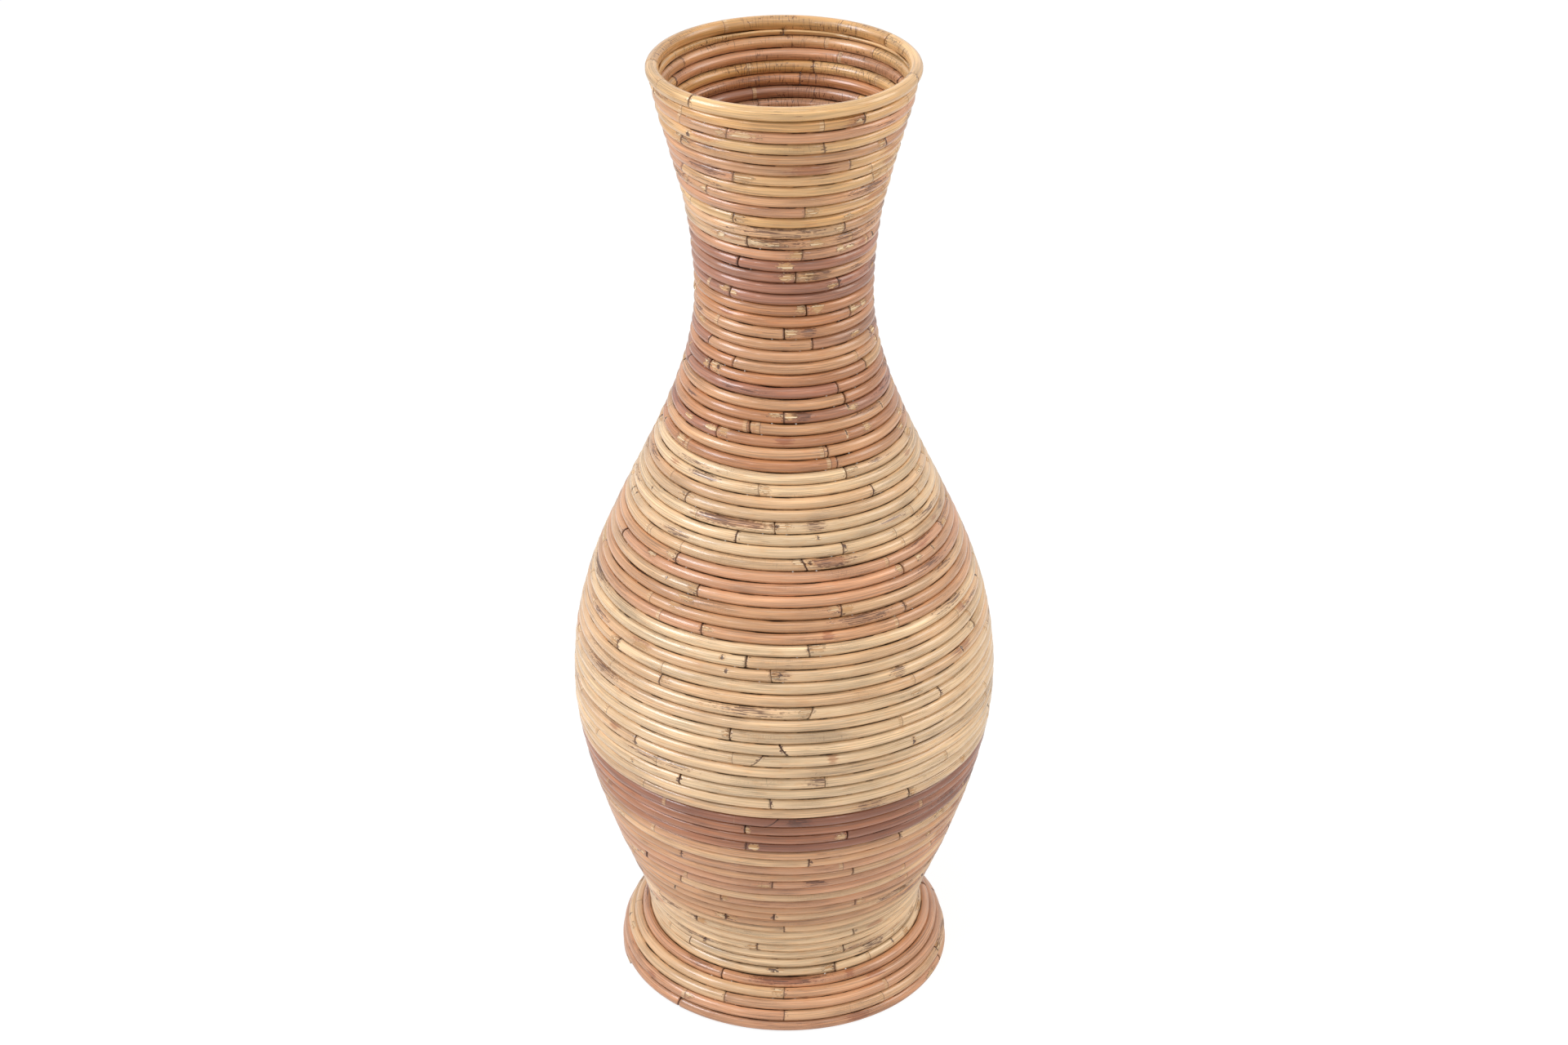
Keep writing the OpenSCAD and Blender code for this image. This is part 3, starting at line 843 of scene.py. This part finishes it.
class Shader:
    """The nodes of one material or of the world."""

    def __init__(self, owner):
        owner.use_nodes = True
        self.tree = owner.node_tree
        self.tree.nodes.clear()

    def add(self, kind, settings=(), inputs=()):
        """Adds a node, sets what it is told and joins its sockets to values, links or numbers."""
        node = self.tree.nodes.new(kind)
        for name, value in dict(settings).items():
            setattr(node, name, value)
        for key, value in dict(inputs).items():
            value = value.socket if isinstance(value, Value) else value
            if isinstance(value, bpy.types.NodeSocket):
                self.tree.links.new(value, node.inputs[key])
            else:
                node.inputs[key].default_value = value
        return node

    def attribute(self, name):
        return self.add("ShaderNodeAttribute", {"attribute_name": name})

    def split(self, vector):
        node = self.add("ShaderNodeSeparateXYZ", {}, {0: vector})
        return [Value(self, out) for out in node.outputs]

    def noise(self, vector, stretch, detail):
        scaled = self.add(
            "ShaderNodeVectorMath", {"operation": "MULTIPLY"}, {0: vector, 1: stretch}
        )
        node = self.add(
            "ShaderNodeTexNoise", {}, {"Vector": scaled.outputs[0], "Scale": 1.0, "Detail": detail}
        )
        return Value(self, node.outputs[0])

    def mix(self, factor, a, b):
        node = self.add("ShaderNodeMix", {"data_type": "RGBA"}, {0: factor, 6: a, 7: b})
        return node.outputs[2]

    def scaled(self, colour, value):
        colour = colour[:3] if isinstance(colour, tuple) else colour
        node = self.add("ShaderNodeVectorMath", {"operation": "SCALE"}, {0: colour, "Scale": value})
        return node.outputs[0]

    def times(self, colour, other):
        node = self.add("ShaderNodeVectorMath", {"operation": "MULTIPLY"}, {0: colour, 1: other})
        return node.outputs[0]

    def surface(self, looks, relief=None):
        """Ends a material in one surface. Its relief is a scale in metres and a height."""
        if relief:
            inputs = {"Strength": 1.0, "Distance": relief[0], "Height": relief[1]}
            looks["Normal"] = self.add("ShaderNodeBump", {}, inputs).outputs[0]
        surface = self.add("ShaderNodeBsdfPrincipled", {}, looks)
        self.add("ShaderNodeOutputMaterial", {}, {0: surface.outputs[0]})


# Painted shade, with some dark glue, in the grooves between the turns
GROOVE_SHADE_AND_GLUE = linear((98, 60, 36))
CRACK_BROWN = linear((84, 48, 30))
# Painted shade in open gaps and deep in the grooves between the turns
GAP_SHADE_BLACK = linear((48, 28, 18))
BARE_PALE = linear((238, 214, 176))
BARE_FIBRE = linear((196, 150, 104))
KNOT_BROWN = linear((74, 42, 28))
STAIN_TINT = (0.66, 0.47, 0.38)
WARM_TINT = (0.99, 0.86, 0.74)
BOARD_PALE, BOARD_RING = linear((205, 164, 118)), linear((176, 128, 84))
STEEL = linear((190, 188, 184))
# How strongly each kind of detail is laid over what lies under it; the last is for the painted
# shade of open gaps and grooves
WARM_SHARE, STAIN_SHARE, GRIT_SHARE, KNOT_SHARE, GAP_SHADE_SHARE = 0.6, 0.85, 0.3, 0.9, 0.85
# The cane's surface, and the relief of cane and board in metres
PLAIN_ROUGHNESS = 0.36
LACQUER_SHARE, LACQUER_ROUGHNESS, LACQUER_IOR = 0.65, 0.15, 1.48
FIBRE_RELIEF, GRAIN_RELIEF = 0.00018, 0.0002
# Patterns of the cane's skin: waves in each millimetre along the cane and across it, and detail
PATTERNS = {
    "broad": (0.012, 0.10, 2.0),
    "fibre": (0.02, 1.1, 3.0),
    "fine": (0.07, 3.6, 2.0),
    "lined": (0.012, 2.0, 1.0),
    "blot": (0.09, 0.3, 2.0),
    "across": (0.9, 0.08, 1.0),
    "wide_across": (0.3, 0.05, 1.0),
    "patchy": (0.022, 0.1, 1.0),
    "worn": (0.10, 0.02, 2.0),
    "dash": (0.07, 1.5, 1.0),
    "ragged": (0.35, 0.8, 3.0),
    "seam": (0.035, 0.12, 2.0),
    "chips": (0.3, 0.7, 1.0),
}
# The least value at which each detail starts to count, and the value from which it counts in full
EDGES = {
    "warm": (0.0, 0.25),
    "stain": (0.6, 1.1),
    "grit": (0.5, 1.15),
    "node_band": (1.0, 2.2),
    "knot_halo": (0.2, 0.6),
    "bare": (0.75, 0.95),
    "bare_pale": (-0.02, 0.1),
    "crack": (0.004, 0.016),
    "wide_crack": (0.006, 0.026),
    "inside": (-0.1, 0.5),
    "crack_patch": (0.56, 0.66),
    "inside_patch": (0.4, 0.6),
    "bare_rim": (0.03, 0.16),
    "bare_rim_patch": (0.48, 0.58),
    "dash": (0.74, 0.79),
    "dash_patch": (0.45, 0.6),
    "hair": (0.004, 0.03),
    "hair_patch": (0.42, 0.62),
    "node_ring": (0.15, 0.5),
    "knot": (0.65, 0.95),
    "chips": (0.55, 0.68),
    "end": (0.3, 1.1),
    "worn": (0.54, 0.66),
    "groove_shade_and_glue": (0.92, 0.99),
    "open_gap": (1.0, 1.03),
    "seam": (0.55, 0.6),
    "seam_groove": (0.88, 0.93),
}


class CaneLook:
    """The maths of lacquered rattan. Each mask is 0 where its detail is absent and 1 where it is
    full, and each step of the colour lays one kind of detail over the last."""

    def __init__(self, shader):
        self.s = shader
        self.place = self.read("cane")
        self.out, self.up, self.from_end = shader.split(self.read("side"))
        self.from_node, self.bare_reach, self.gap = shader.split(self.read("marks"))
        self.stain_reach, self.knot_reach, self.cross = shader.split(self.read("more"))
        self.grit_reach, self.end_dark, _ = shader.split(self.read("scars"))
        self.fibre = self.swing("fibre")
        self.fine = self.swing("fine")
        self.lined = self.swing("lined")
        self.blot = self.swing("blot")
        self.ragged = self.swing("ragged")
        self.patchy = self.wave("patchy")
        self.worn = self.edge("worn", self.wave("worn"))
        self.frayed_reach = self.bare_reach + self.fine * 1.2 + self.ragged * 2.6
        self.grit = 1 - self.edge("grit", self.grit_reach + self.ragged * 1.6)
        self.knot = 1 - self.edge("knot", self.knot_reach + self.ragged * 3.4)
        self.bare = self.bare_mask()
        self.dark = self.dark_mask()
        self.groove_shade_and_glue = self.groove_shade_and_glue_mask()

    def read(self, name):
        return self.s.attribute(name).outputs["Vector"]

    def wave(self, name):
        """A pattern, from 0 to 1."""
        along, across, detail = PATTERNS[name]
        return self.s.noise(self.place, (along, across, across), detail)

    def swing(self, name):
        """A pattern, to both sides of 0."""
        return self.wave(name) - 0.5

    def edge(self, name, value):
        return value.between(*EDGES[name])

    def bare_mask(self):
        """Where the skin is off: in bare patches, beside nodes and round knots."""
        patch = 1 - self.edge("bare", self.frayed_reach)
        band = 1 - self.edge("node_band", abs(self.from_node - 1.8))
        halo = 1 - self.edge("knot_halo", abs(self.knot_reach + self.ragged * 2.0 - 1.3))
        return patch.most(band * 0.6).most(halo * 0.7)

    def crack_mask(self):
        """Cracks across the cane, hair cracks along it, and cracks round bare patches."""
        cracks = 1 - self.edge("crack", abs(self.swing("across")))
        cracks = cracks * self.edge("crack_patch", self.patchy) * self.cross * 0.5
        wide = 1 - self.edge("wide_crack", abs(self.swing("wide_across")))
        wide = wide * self.edge("inside", -1 * self.out) * self.edge("inside_patch", self.patchy)
        hairs = 1 - self.edge("hair", abs(self.lined))
        hairs = hairs * self.edge("hair_patch", self.patchy)
        rims = 1 - self.edge("bare_rim", abs(self.frayed_reach - 1.0))
        rims = rims * self.edge("bare_rim_patch", self.fibre + 0.5)
        return cracks.most(wide * 0.8).most(hairs * 0.5).most(rims * 0.9)

    def dark_mask(self):
        """Cracks, short dashes, the rings of nodes and the chipped ends."""
        dashes = self.edge("dash", self.wave("dash") + abs(self.up) * 0.05 + self.grit * 0.23)
        dashes = dashes * self.edge("dash_patch", self.patchy).most(self.grit)
        ring = 1 - self.edge("node_ring", abs(self.from_node + self.fine))
        chips = self.edge("chips", self.wave("chips"))
        end = 1 - self.edge("end", self.from_end + self.fine * 2.0 - chips * 2.6)
        dark = self.crack_mask().most(dashes * 0.8).most(ring * 0.6)
        return dark.most(end * self.end_dark)

    def groove_shade_and_glue_mask(self):
        """Painted shade, with some dark glue, on the sides that face the turns above and below."""
        side = abs(self.up) + self.blot * 0.05 + self.worn * 0.02
        return self.edge("groove_shade_and_glue", side) * (0.42 + self.worn * 0.5)

    def gap_shade_mask(self):
        """Painted shade: black where open gaps part the turns, and broken black lines deep in the
        grooves.
        """
        gap_side = self.up + self.gap * 0.09 + self.blot * 0.12 + self.worn * 0.02
        seam_side = abs(self.up) + self.fine * 0.15
        seam_shade = self.edge("seam_groove", seam_side) * self.edge("seam", self.wave("seam"))
        return self.edge("open_gap", gap_side).most(seam_shade)

    def tinted(self, colour, share, tint):
        return self.s.mix(share, colour, self.s.times(colour, tint))

    def streaked_tone(self):
        tone = self.s.attribute("tone")
        streaks = Value(self.s, tone.outputs["Alpha"])
        light = 1 + self.swing("broad") * 0.7 + self.fibre * streaks * 1.6
        light = light + self.fine * 0.45 + self.lined * 0.8
        colour = self.s.scaled(tone.outputs["Color"], light)
        return self.tinted(colour, self.edge("warm", self.blot) * WARM_SHARE, WARM_TINT)

    def colour(self):
        mix = self.s.mix
        stain = 1 - self.edge("stain", self.stain_reach + self.fibre * 2.2 + self.ragged * 0.8)
        colour = self.tinted(self.streaked_tone(), stain * STAIN_SHARE, STAIN_TINT)
        colour = self.tinted(colour, self.grit * GRIT_SHARE, STAIN_TINT)
        pale = self.edge("bare_pale", self.fibre + self.fine * 0.5)
        colour = mix(self.bare, colour, mix(pale, BARE_FIBRE, BARE_PALE))
        colour = mix(self.dark, colour, CRACK_BROWN)
        colour = mix(self.knot * KNOT_SHARE, colour, KNOT_BROWN)
        # Painted shade, with some dark glue, in the grooves between the turns
        colour = mix(self.groove_shade_and_glue, colour, GROOVE_SHADE_AND_GLUE)
        # Painted shade: black in open gaps and deep in the grooves between the turns
        return mix(self.gap_shade_mask() * GAP_SHADE_SHARE, colour, GAP_SHADE_BLACK)

    def roughness(self):
        rough = PLAIN_ROUGHNESS + self.fine * 0.25 + self.bare * 0.35
        return rough + self.groove_shade_and_glue * 0.3 + self.dark * 0.2

    def height(self):
        height = self.fibre * 0.5 + self.fine * 0.35 + self.bare * self.fibre * 3.0
        return height - self.dark * 0.9 - self.knot * 1.5


def cane_material():
    """Lacquered rattan: streaks along it, cracks across it, nodes, bare patches and stains."""
    material = bpy.data.materials.new("cane")
    s = Shader(material)
    look = CaneLook(s)
    looks = {
        "Base Color": look.colour(), "Roughness": look.roughness(), "IOR": LACQUER_IOR,
        "Coat Weight": LACQUER_SHARE * (1 - look.bare) * (1 - look.groove_shade_and_glue),
        "Coat Roughness": LACQUER_ROUGHNESS,
    }
    s.surface(looks, (FIBRE_RELIEF, look.height()))
    return material


def board_material():
    """Pale plywood: grain along X with growth rings drawn out and sawn edges."""
    material = bpy.data.materials.new("board_wood")
    s = Shader(material)
    place = s.add("ShaderNodeTexCoord").outputs["Object"]
    rings = s.noise(place, (2.0, 22.0, 22.0), 3.0) - 0.5
    grain = s.noise(place, (14.0, 420.0, 420.0), 3.0) - 0.5
    bands = s.noise(place, (0.0, 0.0, 700.0), 0.0) - 0.5
    tone = s.mix((rings * 3 + 0.5).between(0.1, 0.9), BOARD_PALE, BOARD_RING)
    colour = s.scaled(tone, 1 + grain * 0.5 + bands * 0.2)
    s.surface({"Base Color": colour, "Roughness": 0.62 + grain * 0.2}, (GRAIN_RELIEF, grain))
    return material


def brad_material():
    """Bright steel wire with drawing marks round it."""
    material = bpy.data.materials.new("brad_steel")
    s = Shader(material)
    place = s.add("ShaderNodeTexCoord").outputs["Object"]
    drawn = s.noise(place, (900.0, 900.0, 120.0), 2.0) - 0.5
    colour = s.scaled(STEEL, 1 + drawn * 0.3)
    s.surface({"Base Color": colour, "Metallic": 1.0, "Roughness": 0.34 + drawn * 0.3})
    return material


# Stage

AMBIENT = 0.6
WHITE = (1.0, 1.0, 1.0, 1.0)
FLOOR_WHITE = (0.9, 0.9, 0.9, 1.0)
FLOOR_SIZE = 30.0
FLOOR_GLOW_SHARE = 0.8
FLOOR_GLOW = 1.1
# Soft boxes: name, place, side in metres, watts and tint, and the point that they are turned to
LIGHTS = [
    ("left_box", (-1.9, -0.55, 2.1), 1.1, 39, (0.94, 0.98, 1.07)),
    ("right_box", (2.0, 0.0, 1.9), 1.2, 20, (1.0, 0.93, 0.84)),
    ("top_box", (0.1, -0.9, 3.0), 0.9, 6, (1.0, 1.0, 1.0)),
    ("left_strip", (-1.35, -2.1, 2.3), 0.3, 4.5, (1.0, 1.0, 1.0)),
    ("right_strip", (1.35, -2.1, 2.3), 0.3, 3.5, (1.0, 1.0, 1.0)),
]
LIT_MIDDLE = (0, 0, 0.45)


def sees_backdrop(s):
    """1 for rays that should meet a white background: seen, mirrored or through glass."""
    path = s.add("ShaderNodeLightPath")
    rays = ("Is Camera Ray", "Is Glossy Ray", "Is Transmission Ray")
    seen = [Value(s, path.outputs[name]) for name in rays]
    return seen[0].most(seen[1]).most(seen[2])


def make_world():
    world = bpy.data.worlds.new("studio")
    bpy.context.scene.world = world
    s = Shader(world)
    strength = AMBIENT + sees_backdrop(s) * (1 - AMBIENT)
    sky = s.add("ShaderNodeBackground", {}, {"Color": WHITE, "Strength": strength})
    s.add("ShaderNodeOutputWorld", {}, {0: sky.outputs[0]})


def make_floor():
    """A white floor that keeps a faint shadow of the vase."""
    material = bpy.data.materials.new("floor_white")
    s = Shader(material)
    matte = s.add("ShaderNodeBsdfDiffuse", {}, {"Color": FLOOR_WHITE})
    glow = s.add("ShaderNodeEmission", {}, {"Color": WHITE, "Strength": FLOOR_GLOW})
    path = s.add("ShaderNodeLightPath")
    share = Value(s, path.outputs["Is Camera Ray"]) * FLOOR_GLOW_SHARE
    both = s.add("ShaderNodeMixShader", {}, {0: share, 1: matte.outputs[0], 2: glow.outputs[0]})
    s.add("ShaderNodeOutputMaterial", {}, {0: both.outputs[0]})
    bm = bmesh.new()
    bmesh.ops.create_grid(bm, x_segments=1, y_segments=1, size=FLOOR_SIZE / 2)
    mesh = bpy.data.meshes.new("floor")
    bm.to_mesh(mesh)
    bm.free()
    floor = new_object("floor", mesh)
    mesh.materials.append(material)


def area_light(name, place, aim, size, watts, tint):
    """A square soft box at a place, turned to what it lights."""
    data = bpy.data.lights.new(name, "AREA")
    data.shape = "SQUARE"
    data.size = size
    data.energy = watts
    data.color = tint
    lamp = new_object(name, data)
    lamp.location = place
    lamp.rotation_euler = (Vector(aim) - Vector(place)).to_track_quat("-Z", "Y").to_euler()


def make_lights():
    for name, place, size, watts, tint in LIGHTS:
        area_light(name, place, LIT_MIDDLE, size, watts, tint)


def make_camera():
    data = bpy.data.cameras.new("camera")
    data.lens = FOCAL_PIXELS * SENSOR_W / PHOTO_W
    data.sensor_width = SENSOR_W
    camera = new_object("camera", data)
    camera.location = (0, -CAMERA_BACK, CAMERA_UP)
    camera.rotation_euler = (math.radians(90 - CAMERA_DIP), 0, 0)
    bpy.context.scene.camera = camera


def dress_node(node, material):
    """Gives a CAD node that stays its own material."""
    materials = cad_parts[node].data.materials
    materials.clear()
    materials.append(material)


bpy.context.scene.view_settings.view_transform = "Standard"
make_camera()
make_world()
make_floor()
make_lights()
cane = cane_material()
make_wall(cane)
make_rim(cane)
dress_node("base_board", board_material())
steel = brad_material()
for brads in ("wall_brads", "rim_brads", "board_brads"):
    dress_node(brads, steel)
